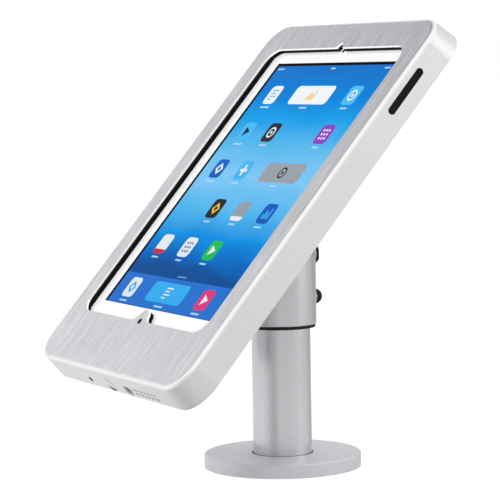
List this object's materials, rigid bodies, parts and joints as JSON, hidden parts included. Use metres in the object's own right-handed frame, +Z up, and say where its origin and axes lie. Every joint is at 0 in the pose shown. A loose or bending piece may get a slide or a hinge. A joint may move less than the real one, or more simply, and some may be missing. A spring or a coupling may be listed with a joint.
{
  "type": "tablet security kiosk stand",
  "caption": "Lockable aluminium tablet enclosure on a tilting and swivelling head, on a round post with a bolt-down base.",
  "frame": {"origin": "middle of the base's underside, on the axis of the post", "axes": "+Z up along the post, the screen faces -Y and leans back, +X is the side wall with the slot"},
  "size_m": [0.2106, 0.1986, 0.2807],
  "materials": {
    "brushed_aluminium": "brushed, clear anodised",
    "satin_aluminium": "satin, clear anodised",
    "bare_aluminium": "bead blasted",
    "zinc_steel": "zinc plated",
    "black_steel": "black oxide",
    "nickel_lock": "nickel plated",
    "rubber": "matte",
    "foam": "closed-cell foam",
    "nylon": "matte",
    "black_plastic": "matte",
    "grey_plastic": "satin",
    "white_plastic": "gloss",
    "white_glass": "gloss, white behind the glass",
    "display_glass": "gloss, lit screen behind the glass",
    "dark_glass": "gloss"
  },
  "bodies": {
    "base": {"base_pad": "rubber", "base_flange": "zinc_steel", "foot_screws": "zinc_steel", "cable_grommet": "rubber", "post_tube": "satin_aluminium", "post_foot": "bare_aluminium", "thrust_washer": "nylon"},
    "cover": {"base_cover": "satin_aluminium", "post_seal": "rubber"},
    "head": {"swivel_head": "satin_aluminium", "swivel_liner": "nylon", "swivel_lock_screw": "black_steel", "tilt_lock_screw": "black_steel", "screw_washers": "zinc_steel", "brake_pad": "nylon", "tilt_bolt": "zinc_steel", "tilt_spring_washer": "zinc_steel", "tilt_nut": "zinc_steel", "friction_washers": "nylon"},
    "carrier": {"tilt_arm": "bare_aluminium", "plate_screws": "black_steel", "clinch_nuts": "zinc_steel", "rear_cover": "brushed_aluminium", "rear_grommet": "rubber", "lock_keeper": "zinc_steel", "keeper_rivets": "zinc_steel", "back_strips": "foam"},
    "screen_case": {"front_shell": "brushed_aluminium", "hinge_pins": "zinc_steel", "slot_insert": "black_plastic", "port_plug": "grey_plastic", "window_gasket": "foam", "tablet_back": "bare_aluminium", "tablet_glass": "white_glass", "tablet_display": "display_glass", "tablet_lens": "dark_glass", "corner_blocks": "black_plastic", "block_screws": "zinc_steel", "lock_housing": "nickel_lock"},
    "lock": {"lock_plug": "nickel_lock"},
    "button": {"home_button": "white_plastic"}
  },
  "joints": [
    {"name": "cover_lift", "type": "slide", "parent": "base", "child": "cover", "axis": [0, 0, 1], "range_m": [0, 0.045]},
    {"name": "head_swivel", "type": "hinge", "parent": "base", "child": "head", "pos_m": [0, 0, 0.1], "axis": [0, 0, 1], "range_deg": [-165, 165]},
    {"name": "screen_tilt", "type": "hinge", "parent": "head", "child": "carrier", "pos_m": [0, 0, 0.1334], "axis": [1, 0, 0], "range_deg": [-39, 29]},
    {"name": "case_opening", "type": "hinge", "parent": "carrier", "child": "screen_case", "pos_m": [0, 0.06682, 0.26987], "axis": [-1, 0, 0], "range_deg": [0, 25]},
    {"name": "lock_turn", "type": "hinge", "parent": "screen_case", "child": "lock", "pos_m": [0.019, -0.11467, 0.06109], "axis": [0, 0.6561, 0.7547], "range_deg": [0, 90]},
    {"name": "button_press", "type": "slide", "parent": "screen_case", "child": "button", "axis": [0, 0.7547, -0.6561], "range_m": [0, 0.0004], "stiffness_N_per_m": 2000}
  ]
}
